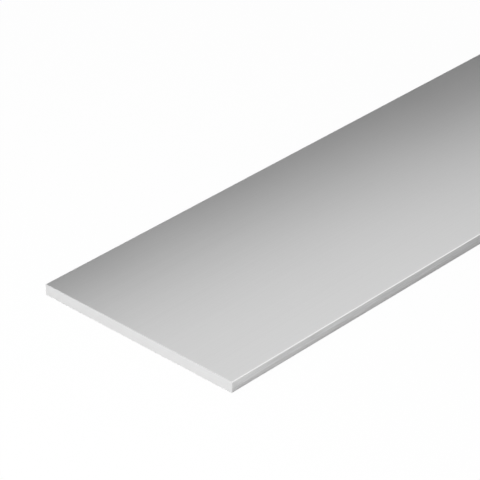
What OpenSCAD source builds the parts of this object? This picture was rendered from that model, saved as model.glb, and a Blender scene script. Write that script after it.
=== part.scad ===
// Aluminium strip: extruded flat bar, cut to length with square sawn ends.
// It lies flat. The origin is at the middle of the underside, X runs along
// the length, Y across the width and Z up through the thickness.

/* [Section] */
// Width across the two long edges
strip_w = 100; // [20:1:200]
// Thickness between the two broad faces
strip_t = 5; // [1:0.5:12]
// Radius that the extrusion die leaves along the four long edges
edge_r = 0.4; // [0.1:0.05:0.45]

/* [Cut length] */
// Length between the two sawn ends
strip_l = 1000; // [100:10:6000]
// Width of the arris that deburring breaks around each sawn end
end_break = 0.15; // [0.05:0.05:0.3]

/* [Hidden] */
// Sides of a full circle at the edge radius
$fn = 64;

// Section of the extrusion, centred: a rectangle with its four corners rounded
module extruded_section() {
    square([strip_w - 2 * edge_r, strip_t], center = true);
    square([strip_w, strip_t - 2 * edge_r], center = true);
    for (side = [-1, 1], level = [-1, 1])
        translate([side * (strip_w / 2 - edge_r), level * (strip_t / 2 - edge_r)])
            circle(r = edge_r);
}

// Centred rectangle of the cut length by the given breadth, with its corners cut at 45 degrees
module broken_outline(breadth) {
    along = strip_l / 2;
    across = breadth / 2;
    polygon([
        [end_break - along, -across], [along - end_break, -across],
        [along, end_break - across], [along, across - end_break],
        [along - end_break, across], [end_break - along, across],
        [-along, across - end_break], [-along, end_break - across]
    ]);
}

// The strip: its section along the length, trimmed by the outlines seen from above and from the side
module strip() {
    color("silver")
        translate([0, 0, strip_t / 2])
            intersection() {
                rotate([90, 0, 90])
                    linear_extrude(height = strip_l, center = true) extruded_section();
                linear_extrude(height = strip_t, center = true) broken_outline(strip_w);
                rotate([90, 0, 0])
                    linear_extrude(height = strip_w, center = true) broken_outline(strip_t);
            }
}

strip();
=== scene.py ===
import math

import bpy
import numpy as np
from mathutils import Matrix, Vector


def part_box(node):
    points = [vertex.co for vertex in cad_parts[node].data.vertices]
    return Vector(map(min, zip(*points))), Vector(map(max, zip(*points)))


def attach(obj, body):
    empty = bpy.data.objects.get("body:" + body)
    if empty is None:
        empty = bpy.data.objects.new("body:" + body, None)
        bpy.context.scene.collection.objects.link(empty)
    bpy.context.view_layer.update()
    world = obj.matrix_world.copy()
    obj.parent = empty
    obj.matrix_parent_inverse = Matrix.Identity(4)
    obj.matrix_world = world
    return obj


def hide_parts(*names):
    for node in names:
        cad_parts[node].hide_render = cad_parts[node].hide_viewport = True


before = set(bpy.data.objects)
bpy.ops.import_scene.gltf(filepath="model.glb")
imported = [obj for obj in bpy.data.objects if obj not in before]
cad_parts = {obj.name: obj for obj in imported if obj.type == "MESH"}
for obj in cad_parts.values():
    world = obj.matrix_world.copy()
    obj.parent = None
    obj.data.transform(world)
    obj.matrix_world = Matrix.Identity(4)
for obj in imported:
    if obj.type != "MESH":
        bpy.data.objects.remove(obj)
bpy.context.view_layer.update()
stripLow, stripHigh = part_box("strip")
nearCorner = Vector((stripLow.x, stripLow.y, stripHigh.z))  # top corner closest to the camera
scene = bpy.context.scene
scene.view_settings.view_transform = "Standard"
print("frame loaded:", ", ".join(sorted(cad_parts)))


# Camera, solved from the strip's straight edges: one corner is pinned to its pixel
cameraSet = {
    "azimuth": -46.852,  # degrees, 0 looks along +Y
    "elevation": 31.022,  # degrees above the horizon
    "imageSide": 480,  # pixels
    "focalPixels": 2677.5,
    "sensorWidth": 36.0,  # millimetres
    "cornerPixel": (231.95, 382.25),  # where the near corner falls
    "cornerDepth": 0.9862,  # metres along the line of sight
    "clip": (0.05, 100.0),
}


def placeCamera(corner, look):
    # back points from the strip to the camera, right and up span the picture, and the camera is the
    # corner moved back by its depth and sideways until the corner falls on its own pixel
    azimuth = math.radians(look["azimuth"])
    elevation = math.radians(look["elevation"])
    level = math.cos(elevation)
    back = Vector((math.sin(azimuth) * level, -math.cos(azimuth) * level, math.sin(elevation)))
    right = Vector((math.cos(azimuth), math.sin(azimuth), 0.0))
    up = back.cross(right)
    middle = look["imageSide"] / 2
    perPixel = look["cornerDepth"] / look["focalPixels"]
    offRight = (look["cornerPixel"][0] - middle) * perPixel
    offUp = (middle - look["cornerPixel"][1]) * perPixel
    data = bpy.data.cameras.new("stripCamera")
    data.sensor_width = look["sensorWidth"]
    data.lens = look["focalPixels"] * look["sensorWidth"] / look["imageSide"]
    data.clip_start, data.clip_end = look["clip"]
    camera = bpy.data.objects.new("stripCamera", data)
    scene.collection.objects.link(camera)
    turn = Matrix((right, up, back)).transposed().to_4x4()
    place = corner + back * look["cornerDepth"] - right * offRight - up * offUp
    camera.matrix_world = Matrix.Translation(place) @ turn
    scene.camera = camera
    return camera


camera = placeCamera(nearCorner, cameraSet)
print("camera placed, lens", round(camera.data.lens, 1), "mm")


# The strip's surface: an extruded section with die-rounded long edges, and sawn ends with a broken arris
barSet = {
    "edgeRadius": 0.0004,  # left by the extrusion die along the four long edges
    "endBreak": 0.00015,  # arris that deburring breaks round each sawn end
    "edgeSteps": 8,
    "breakSteps": 4,
    "flatColumns": 120,
    "sideRows": 30,
    "lengthSteps": 20,
    "bladeRadius": 0.125,  # saw blade that cut the ends, plunging from above
    "bladeAside": -0.02,  # blade centre, off the middle of the strip
    "markPitches": (0.0011, 0.0007),  # saw marks: two sets of waves
    "markDepth": 0.000006,  # the deepest cut, where both sets meet
}
finishOrder = ("broadSkin", "sideSkin", "sawnEnd")  # a face's number is its finish's place in this list


def sectionColumns(width, spec):
    # Columns across the width: even steps over the flat, equal angles round each die radius.
    # Each column is the centre of its radius and an angle: 0 where the skin lies level, and a quarter
    # turn where it stands upright.
    half = width / 2 - spec["edgeRadius"]
    turn = np.linspace(0, np.pi / 2, spec["edgeSteps"] + 1)[1:]
    flat = np.linspace(-half, half, spec["flatColumns"] + 1)
    centre = np.concatenate([np.full(turn.size, -half), flat, np.full(turn.size, half)])
    angle = np.concatenate([-turn[::-1], np.zeros(flat.size), turn])
    return centre, angle


def sectionGrid(thickness, columns, spec, inset):
    # Section as a grid: the underside is the radius centre minus (radius - inset) along the angle, the
    # top is its mirror image, and the rows between them are straight blends from one to the other
    centre, angle = columns
    reach = spec["edgeRadius"] - inset
    under = spec["edgeRadius"] - reach * np.cos(angle)
    share = np.linspace(0, 1, spec["sideRows"] + 1)[:, None]
    y = np.repeat((centre + reach * np.sin(angle))[None, :], share.size, axis=0)
    return np.stack([y, under + share * (thickness - 2 * under)], axis=-1)


def rimOf(grid):
    # Once round a grid's border: underside, right, top, left
    return np.concatenate([grid[0, :-1], grid[:-1, -1], grid[-1, :0:-1], grid[:0:-1, 0]])


def lengthStations(length, spec):
    # Stations along the length: a quarter round over each broken arris, even steps between them.
    # Each has its place, its inset from the full section, and how far its normal leans to the end.
    turn = np.linspace(0, np.pi / 2, spec["breakSteps"] + 1)
    size = spec["endBreak"]
    arcX = size * (1 - np.cos(turn)) - length / 2
    arcInset = size * (1 - np.sin(turn))
    run = np.linspace(arcX[-1], -arcX[-1], spec["lengthSteps"] + 1)[1:-1]
    plain = np.zeros(run.size)
    x = np.concatenate([arcX, run, -arcX[::-1]])
    inset = np.concatenate([arcInset, plain, arcInset[::-1]])
    lean = np.concatenate([-np.cos(turn), plain, np.cos(turn[::-1])])
    return x, inset, lean


def sawMarks(section, thickness, spec):
    # Depth of the saw marks and its slopes in y and z: a sum of sines of the distance from the blade's
    # centre, one for each pitch, raised so that the marks only cut into the end
    offset = section - np.array([spec["bladeAside"], spec["bladeRadius"] + thickness / 2])
    distance = np.linalg.norm(offset, axis=-1)
    wave = 2 * np.pi / np.array(spec["markPitches"])
    phase = distance[..., None] * wave
    size = spec["markDepth"] / (2 * wave.size)
    depth = (size * (1 + np.sin(phase))).sum(axis=-1)
    slope = (size * wave * np.cos(phase)).sum(axis=-1)
    return depth, slope[..., None] * offset / distance[..., None]


def quadsOf(ids):
    # Each cell of a grid of vertex numbers, as one four-sided face
    return np.stack([ids[:-1, :-1], ids[:-1, 1:], ids[1:, 1:], ids[1:, :-1]], axis=-1).reshape(-1, 4)


def withX(x, yz):
    # Points or directions from one x for each row and their y and z
    return np.concatenate([np.broadcast_to(x[:, None, None], yz.shape[:2] + (1,)), yz], axis=-1)


def skinSurface(length, thickness, columns, spec):
    # The section's rim carried along the stations, drawn in by each station's inset. A normal is the
    # rim's own outward direction, leaned towards the end over the broken arris. The painted highlight
    # along the die-rounded edges is the root of twice the product of that direction's two parts: 1
    # halfway round a die radius, 0 on the flats.
    full = rimOf(sectionGrid(thickness, columns, spec, 0.0))
    spine = rimOf(sectionGrid(thickness, columns, spec, spec["edgeRadius"]))
    outward = (full - spine) / spec["edgeRadius"]
    x, inset, lean = lengthStations(length, spec)
    reach = (spec["edgeRadius"] - inset)[:, None, None]
    level = np.sqrt(1 - lean**2)[:, None, None]
    points = withX(x, spine + reach * outward)
    normals = withX(lean, level * outward)
    # a face is the sawn end's over the broken arris, the narrow side's where the rim points sideways
    aside = np.abs(outward[:, 0]) > np.abs(outward[:, 1])
    aside = aside & np.roll(aside, -1)
    kinds = np.where(aside, finishOrder.index("sideSkin"), finishOrder.index("broadSkin"))
    kinds = np.repeat(kinds[None], x.size - 1, axis=0)
    kinds[: spec["breakSteps"]] = finishOrder.index("sawnEnd")
    kinds[-spec["breakSteps"]:] = finishOrder.index("sawnEnd")
    paintedHighlight = np.repeat(np.sqrt(2 * np.abs(outward[:, 0] * outward[:, 1]))[None], x.size, axis=0)
    return points, normals, kinds, paintedHighlight


def stripSurface(length, width, thickness, spec):
    # The skin, closed by the section grid at its first and last station, sunk there by the saw marks
    columns = sectionColumns(width, spec)
    skin, skinNormals, skinKinds, skinHighlight = skinSurface(length, thickness, columns, spec)
    ring = np.arange(skin.shape[0] * skin.shape[1]).reshape(skin.shape[:2])
    closed = np.concatenate([ring, ring[:, :1]], axis=1)
    cap = sectionGrid(thickness, columns, spec, spec["endBreak"])
    depth, slopes = sawMarks(cap, thickness, spec)
    spot = np.arange(depth.size).reshape(depth.shape)
    inner = spot[1:-1, 1:-1].ravel()
    points = [skin.reshape(-1, 3)]
    normals = [skinNormals.reshape(-1, 3)]
    faces = [quadsOf(closed)]
    kinds = [skinKinds.ravel()]
    paintedHighlight = [skinHighlight.ravel()]
    nextId = ring.size
    for side, station in ((-1, 0), (1, -1)):  # the near end, then the far one
        sunk = side * (length / 2 - depth)
        capPoints = np.concatenate([sunk[..., None], cap], axis=-1).reshape(-1, 3)
        straight = np.full_like(sunk, side)
        capNormals = np.concatenate([straight[..., None], slopes], axis=-1).reshape(-1, 3)
        ids = np.empty(spot.size, int)
        ids[rimOf(spot)] = ring[station]
        ids[inner] = nextId + np.arange(inner.size)
        nextId += inner.size
        quads = quadsOf(ids.reshape(spot.shape))
        points.append(capPoints[inner])
        normals.append(capNormals[inner])
        faces.append(quads[:, ::side])  # turned round at the near end, so that both ends face outwards
        kinds.append(np.full(len(quads), finishOrder.index("sawnEnd")))
        paintedHighlight.append(np.zeros(inner.size))
    points = np.concatenate(points)
    normals = np.concatenate(normals)
    normals /= np.linalg.norm(normals, axis=1, keepdims=True)
    faces = np.concatenate(faces)
    return points, normals, faces, np.concatenate(kinds), np.concatenate(paintedHighlight)


def buildStrip(low, high, spec):
    size = high - low
    points, normals, faces, kinds, paintedHighlight = stripSurface(size.x, size.y, size.z, spec)
    middle = (low + high) / 2
    points = points + np.array([middle.x, middle.y, low.z])
    mesh = bpy.data.meshes.new("stripBar")
    mesh.from_pydata(points.tolist(), [], faces.tolist())
    mesh.polygons.foreach_set("use_smooth", np.ones(len(faces), bool))
    mesh.polygons.foreach_set("material_index", kinds.astype(np.int32))
    # each point's share of the painted highlight along the die-rounded edges
    mesh.attributes.new("paintedHighlight", "FLOAT", "POINT").data.foreach_set("value", paintedHighlight)
    mesh.normals_split_custom_set_from_vertices(normals.tolist())
    mesh.update()
    bar = bpy.data.objects.new("stripBar", mesh)
    scene.collection.objects.link(bar)
    return bar


stripBar = buildStrip(stripLow, stripHigh, barSet)
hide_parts("strip")
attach(stripBar, "root")
print("strip built,", len(stripBar.data.polygons), "faces")


def mathNode(nodes, links, operation, *values):
    # One Math node: each value is a socket to link or a number to set
    node = nodes.new("ShaderNodeMath")
    node.operation = operation
    for socket, value in zip(node.inputs, values):
        if isinstance(value, bpy.types.NodeSocket):
            links.new(value, socket)
        else:
            socket.default_value = value
    return node.outputs["Value"]


def vectorNode(nodes, links, operation, first, second=None):
    # One Vector Math node on a linked vector, with a second vector that is linked or set
    node = nodes.new("ShaderNodeVectorMath")
    node.operation = operation
    links.new(first, node.inputs[0])
    if isinstance(second, bpy.types.NodeSocket):
        links.new(second, node.inputs[1])
    elif second is not None:
        node.inputs[1].default_value = second
    return node


# Grain that every finish uses: strokes drawn out along one direction, fine pits and broad clouds
grainSet = {
    "strokeDetail": 3.0,
    "strokeRoughness": 0.6,
    "pitDetail": 2.0,
    "cloudScale": 14.0,  # clouds a hand's width across
    "cloudDetail": 2.0,
    "noiseRange": (0.3, 0.7),  # where nearly all of a noise texture's values lie
}


def noiseNode(nodes, links, place, scale, detail):
    node = nodes.new("ShaderNodeTexNoise")
    node.inputs["Detail"].default_value = detail
    links.new(place, node.inputs["Vector"])
    if isinstance(scale, bpy.types.NodeSocket):
        links.new(scale, node.inputs["Scale"])
    else:
        node.inputs["Scale"].default_value = scale
    return node


def buildGrainGroup(look):
    group = bpy.data.node_groups.new("metalGrain", "ShaderNodeTree")
    face = group.interface
    face.new_socket("Place", in_out="INPUT", socket_type="NodeSocketVector")
    for name in ("Along", "Across", "Pitting"):
        face.new_socket(name, in_out="INPUT", socket_type="NodeSocketFloat")
    for name in ("Strokes", "Pits", "Clouds"):
        face.new_socket(name, in_out="OUTPUT", socket_type="NodeSocketFloat")
    nodes = group.nodes
    links = group.links
    given = nodes.new("NodeGroupInput").outputs
    result = nodes.new("NodeGroupOutput").inputs
    # strokes: noise on a place stretched by Along in x and by Across in y and z
    stretch = nodes.new("ShaderNodeCombineXYZ")
    links.new(given["Along"], stretch.inputs["X"])
    links.new(given["Across"], stretch.inputs["Y"])
    links.new(given["Across"], stretch.inputs["Z"])
    drawn = vectorNode(nodes, links, "MULTIPLY", given["Place"], stretch.outputs["Vector"])
    toScale = 1.0  # the stretched place is already to scale
    strokes = noiseNode(nodes, links, drawn.outputs["Vector"], toScale, look["strokeDetail"])
    strokes.inputs["Roughness"].default_value = look["strokeRoughness"]
    pits = noiseNode(nodes, links, given["Place"], given["Pitting"], look["pitDetail"])
    clouds = noiseNode(nodes, links, given["Place"], look["cloudScale"], look["cloudDetail"])
    for name, node in (("Strokes", strokes), ("Pits", pits), ("Clouds", clouds)):
        links.new(node.outputs["Fac"], result[name])
    return group


grainGroup = buildGrainGroup(grainSet)


def startMaterial(name):
    material = bpy.data.materials.new(name)
    material.use_nodes = True
    nodes = material.node_tree.nodes
    return material, nodes, material.node_tree.links, nodes["Principled BSDF"]


def spread(nodes, links, noise, low, high):
    # A noise value as a value from low to high
    ramp = nodes.new("ShaderNodeMapRange")
    least, most = grainSet["noiseRange"]
    ramp.inputs["From Min"].default_value = least
    ramp.inputs["From Max"].default_value = most
    ramp.inputs["To Min"].default_value = low
    ramp.inputs["To Max"].default_value = high
    links.new(noise, ramp.inputs["Value"])
    return ramp.outputs["Result"]


def mixColours(nodes, links, share):
    mixed = nodes.new("ShaderNodeMix")
    mixed.data_type = "RGBA"
    links.new(share, mixed.inputs["Factor"])
    return mixed


def metalFinish(name, look, findPlace):
    # Metal whose tone follows one grain and is painted paler along the die-rounded edges as a highlight,
    # whose roughness follows another grain, and whose bump is the strokes and pits
    material, nodes, links, shader = startMaterial(name)
    grain = nodes.new("ShaderNodeGroup")
    grain.node_tree = grainGroup
    for socket in ("Along", "Across", "Pitting"):
        grain.inputs[socket].default_value = look[socket]
    links.new(findPlace(nodes, links), grain.inputs["Place"])
    tone = mixColours(nodes, links, spread(nodes, links, grain.outputs[look["toneFrom"]], 0.0, 1.0))
    tone.inputs["A"].default_value = (*look["dark"], 1.0)
    tone.inputs["B"].default_value = (*look["light"], 1.0)
    # painted highlight: the base colour pales towards a set tone along the die-rounded edges
    highlightShare = nodes.new("ShaderNodeAttribute")
    highlightShare.attribute_name = "paintedHighlight"
    highlighted = mixColours(nodes, links, highlightShare.outputs["Fac"])
    links.new(tone.outputs["Result"], highlighted.inputs["A"])
    highlighted.inputs["B"].default_value = (*look["highlightTone"], 1.0)
    links.new(highlighted.outputs["Result"], shader.inputs["Base Color"])
    rough = spread(nodes, links, grain.outputs[look["roughFrom"]], *look["roughness"])
    links.new(rough, shader.inputs["Roughness"])
    shader.inputs["Metallic"].default_value = 1.0
    bump = nodes.new("ShaderNodeBump")
    bump.inputs["Strength"].default_value = look["bumpStrength"]
    bump.inputs["Distance"].default_value = look["bumpHeight"]
    relief = mathNode(nodes, links, "ADD", grain.outputs["Strokes"], grain.outputs["Pits"])
    links.new(relief, bump.inputs["Height"])
    links.new(bump.outputs["Normal"], shader.inputs["Normal"])
    return material


def objectPlace(nodes, links):
    return nodes.new("ShaderNodeTexCoord").outputs["Object"]


def bladePlace(nodes, links):
    # The saw blade's own place: y along the arc, and the distance from the blade's centre across it
    height = barSet["bladeRadius"] + (stripHigh.z - stripLow.z) / 2
    centre = (0.0, barSet["bladeAside"], stripLow.z + height)
    offset = vectorNode(nodes, links, "SUBTRACT", objectPlace(nodes, links), centre).outputs["Vector"]
    flat = vectorNode(nodes, links, "MULTIPLY", offset, (0.0, 1.0, 1.0)).outputs["Vector"]
    distance = vectorNode(nodes, links, "LENGTH", flat).outputs["Value"]
    parts = nodes.new("ShaderNodeSeparateXYZ")
    links.new(offset, parts.inputs["Vector"])
    polar = nodes.new("ShaderNodeCombineXYZ")
    links.new(parts.outputs["Y"], polar.inputs["X"])
    links.new(distance, polar.inputs["Y"])
    return polar.outputs["Vector"]


# Broad faces: matt etched and anodised skin, with faint die lines along the length
broadSet = {
    "dark": (0.71, 0.71, 0.71),
    "light": (0.73, 0.73, 0.73),
    # painted highlight: the pale tone that the die-rounded edges are given
    "highlightTone": (0.94, 0.94, 0.94),  # tone of the die-rounded edges
    "toneFrom": "Strokes",
    "roughness": (0.31, 0.33),
    "roughFrom": "Clouds",
    "Along": 3.0,  # strokes in a metre along them
    "Across": 1400.0,  # and across them
    "Pitting": 4200.0,  # pits in a metre
    "bumpHeight": 0.000004,
    "bumpStrength": 0.15,
}

# Narrow sides: the same skin with shorter, stronger die lines, and a darker tone that is painted shade
sideSet = {
    "dark": (0.57, 0.57, 0.57),
    "light": (0.75, 0.75, 0.75),
    "highlightTone": (0.94, 0.94, 0.94),
    "toneFrom": "Strokes",
    "roughness": (0.3, 0.33),
    "roughFrom": "Strokes",
    "Along": 60.0,
    "Across": 1400.0,
    "Pitting": 4200.0,
    "bumpHeight": 0.000008,
    "bumpStrength": 0.25,
}

# Sawn ends: bare bright metal, with strokes that follow the blade's arc
endSet = {
    "dark": (0.87, 0.87, 0.87),
    "light": (0.9, 0.9, 0.9),
    "highlightTone": (0.94, 0.94, 0.94),
    "toneFrom": "Strokes",
    "roughness": (0.34, 0.38),
    "roughFrom": "Strokes",
    "Along": 20.0,
    "Across": 3000.0,
    "Pitting": 5000.0,
    "bumpHeight": 0.000003,
    "bumpStrength": 0.3,
}

finishes = {
    "broadSkin": metalFinish("broadSkin", broadSet, objectPlace),
    "sideSkin": metalFinish("sideSkin", sideSet, objectPlace),
    "sawnEnd": metalFinish("sawnEnd", endSet, bladePlace),
}
for name in finishOrder:
    stripBar.data.materials.append(finishes[name])
print("finishes made:", ", ".join(finishOrder))


# Plain pale floor: the camera sees it close to white, and it keeps the strip's shadow
floorSet = {
    "halfSide": 15.0,
    "below": 0.0002,  # gap under the strip, so that the two surfaces don't meet
    "colour": (0.95, 0.95, 0.95),
    "cameraFill": 0.97,  # share of plain white that the camera sees
    "glossyFill": 0.05,  # share of plain white that the metal sees
    "clearWithin": 0.0006,  # the strip's underside sees through the floor that it lies on
}


def stageCard(name, corners):
    # One flat card from its corners
    mesh = bpy.data.meshes.new(name)
    mesh.from_pydata(corners, [], [tuple(range(len(corners)))])
    card = bpy.data.objects.new(name, mesh)
    scene.collection.objects.link(card)
    return card


def mirroredRay(nodes, links, ray):
    # 1 for rays that come from metal or through glass
    return mathNode(nodes, links, "MAXIMUM", ray["Is Glossy Ray"], ray["Is Transmission Ray"])


def mixShaders(nodes, links, share, first, second):
    mixed = nodes.new("ShaderNodeMixShader")
    links.new(share, mixed.inputs["Fac"])
    links.new(first, mixed.inputs[1])
    links.new(second, mixed.inputs[2])
    return mixed.outputs["Shader"]


def makeFloor(look, level):
    side = look["halfSide"]
    corners = [(-side, -side, level), (side, -side, level), (side, side, level), (-side, side, level)]
    card = stageCard("floor", corners)
    material, nodes, links, shader = startMaterial("floorPaint")
    nodes.remove(shader)
    paint = nodes.new("ShaderNodeBsdfDiffuse")
    paint.inputs["Color"].default_value = (*look["colour"], 1.0)
    white = nodes.new("ShaderNodeEmission")
    ray = nodes.new("ShaderNodeLightPath").outputs
    mirrored = mirroredRay(nodes, links, ray)
    seen = mathNode(nodes, links, "MULTIPLY", ray["Is Camera Ray"], look["cameraFill"])
    share = mathNode(nodes, links, "MULTIPLY_ADD", mirrored, look["glossyFill"], seen)
    lit = mixShaders(nodes, links, share, paint.outputs["BSDF"], white.outputs["Emission"])
    # from underneath the floor is clear, so that the strip's underside can be seen
    touching = mathNode(nodes, links, "LESS_THAN", ray["Ray Length"], look["clearWithin"])
    under = mathNode(nodes, links, "MULTIPLY", mirrored, touching)
    facing = nodes.new("ShaderNodeNewGeometry").outputs["Backfacing"]
    clear = nodes.new("ShaderNodeBsdfTransparent")
    away = mathNode(nodes, links, "MAXIMUM", facing, under)
    oneSided = mixShaders(nodes, links, away, lit, clear.outputs["BSDF"])
    links.new(oneSided, nodes["Material Output"].inputs["Surface"])
    card.data.materials.append(material)


makeFloor(floorSet, stripLow.z - floorSet["below"])
print("floor laid")


# Pale room: even light on the floor, white for the camera, and for the metal a sky that pales upwards
roomSet = {
    "light": 0.335,  # strength that falls on the floor
    "horizon": 0.8,  # what the metal sees, level with the strip
    "overhead": 1.0,
    "paleFrom": 0.5,  # height in the sky, as the sine of its elevation, where overhead starts
}


def lightRoom(look):
    world = bpy.data.worlds.new("paleRoom")
    scene.world = world
    world.use_nodes = True
    nodes = world.node_tree.nodes
    links = world.node_tree.links
    room = nodes["Background"]
    room.inputs["Color"].default_value = (1.0, 1.0, 1.0, 1.0)
    place = nodes.new("ShaderNodeTexCoord")
    parts = nodes.new("ShaderNodeSeparateXYZ")
    links.new(place.outputs["Generated"], parts.inputs["Vector"])
    sky = nodes.new("ShaderNodeMapRange")
    sky.inputs["From Max"].default_value = look["paleFrom"]
    sky.inputs["To Min"].default_value = look["horizon"]
    sky.inputs["To Max"].default_value = look["overhead"]
    links.new(parts.outputs["Z"], sky.inputs["Value"])
    ray = nodes.new("ShaderNodeLightPath").outputs
    level = nodes.new("ShaderNodeMix")
    level.inputs["A"].default_value = look["light"]
    # the sky is for rays that come straight from metal, and not from the floor by way of metal
    direct = mathNode(nodes, links, "LESS_THAN", ray["Diffuse Depth"], 1.0)
    inMetal = mathNode(nodes, links, "MULTIPLY", mirroredRay(nodes, links, ray), direct)
    links.new(inMetal, level.inputs["Factor"])
    links.new(sky.outputs["Result"], level.inputs["B"])
    strength = mathNode(nodes, links, "MAXIMUM", ray["Is Camera Ray"], level.outputs["Result"])
    links.new(strength, room.inputs["Strength"])


# Soft lamps, placed and aimed in metres from the middle of an end's top edge. They light the floor, and
# the metal shows the room and that floor.
keySet = {
    "from": (-0.09, 0.05, 0.34),
    "aim": (-0.09, 0.05, 0.0),
    "size": (0.18, 0.235),
    "watts": 0.66,
}
fillSet = {
    "from": (-0.255, -0.22, 0.17),
    "aim": (-0.005, -0.21, 0.0),
    "size": (0.15, 0.15),
    "watts": 0.53,
}


def studioSpot(end, turn, offset):
    # An offset from one end of the strip: turn is -1 at the far end, where it is turned half round
    return end + Vector((turn * offset[0], turn * offset[1], offset[2]))


def hangLamp(name, look, end, turn):
    data = bpy.data.lights.new(name, "AREA")
    data.shape = "RECTANGLE"
    data.size, data.size_y = look["size"]
    data.energy = look["watts"]
    lamp = bpy.data.objects.new(name, data)
    scene.collection.objects.link(lamp)
    lamp.location = studioSpot(end, turn, look["from"])
    beam = studioSpot(end, turn, look["aim"]) - lamp.location
    lamp.rotation_euler = beam.to_track_quat("-Z", "Y").to_euler()
    lamp.visible_camera = False
    lamp.visible_glossy = False


# Dark flag, a card that hangs behind the strip and shades its reflection towards the far long edge
flagSet = {
    "aside": 0.172,  # metres from the strip's middle line
    "past": 0.4,  # how far it runs out past the near end
    "reach": 1.2,  # how far it runs the other way, along the strip
    "bottom": 0.055,  # heights above the strip's top
    "topAtEnd": 0.116,
    "bend": 0.205,  # its top rises by this times the square of the distance in from the end
    "bendLength": 0.5,  # and is level after this distance
    "bendSteps": 16,
    "glow": 0.05,
}

# Pale card in front, which rises towards the far end and shades the reflection that is seen from behind.
# Its settings mean what the flag's do.
cardSet = {
    "aside": -0.172,
    "past": 0.1,
    "reach": 1.4,
    "bottom": -0.005,
    "topAtEnd": -0.004,
    "bend": 0.12,
    "bendLength": 1.1,
    "bendSteps": 16,
    "glow": 0.35,
}


def hangCard(name, look, end):
    # Outline: a level bottom, and a top that is level up to the end, bends upwards and is level again
    along = np.linspace(0.0, look["bendLength"], look["bendSteps"] + 1)
    top = look["topAtEnd"] + look["bend"] * along**2
    x = np.array([-look["past"], *along, look["reach"], look["reach"], -look["past"]])
    z = np.array([look["topAtEnd"], *top, top[-1], look["bottom"], look["bottom"]])
    corners = np.stack([x, np.full(x.size, look["aside"]), z], axis=-1) + np.array(end)
    card = stageCard(name, corners.tolist())
    material, nodes, links, shader = startMaterial(name)
    nodes.remove(shader)
    dim = nodes.new("ShaderNodeEmission")
    dim.inputs["Strength"].default_value = look["glow"]
    links.new(dim.outputs["Emission"], nodes["Material Output"].inputs["Surface"])
    card.data.materials.append(material)
    card.visible_camera = False
    card.visible_diffuse = False
    card.visible_shadow = False


lightRoom(roomSet)
middleY = (stripLow.y + stripHigh.y) / 2
nearEnd = Vector((stripLow.x, middleY, stripHigh.z))
farEnd = Vector((stripHigh.x, middleY, stripHigh.z))
for side, end, turn in (("near", nearEnd, 1), ("far", farEnd, -1)):
    hangLamp(side + "Key", keySet, end, turn)
    hangLamp(side + "Fill", fillSet, end, turn)
hangCard("flag", flagSet, nearEnd)
hangCard("paleCard", cardSet, nearEnd)
print("lights hung")
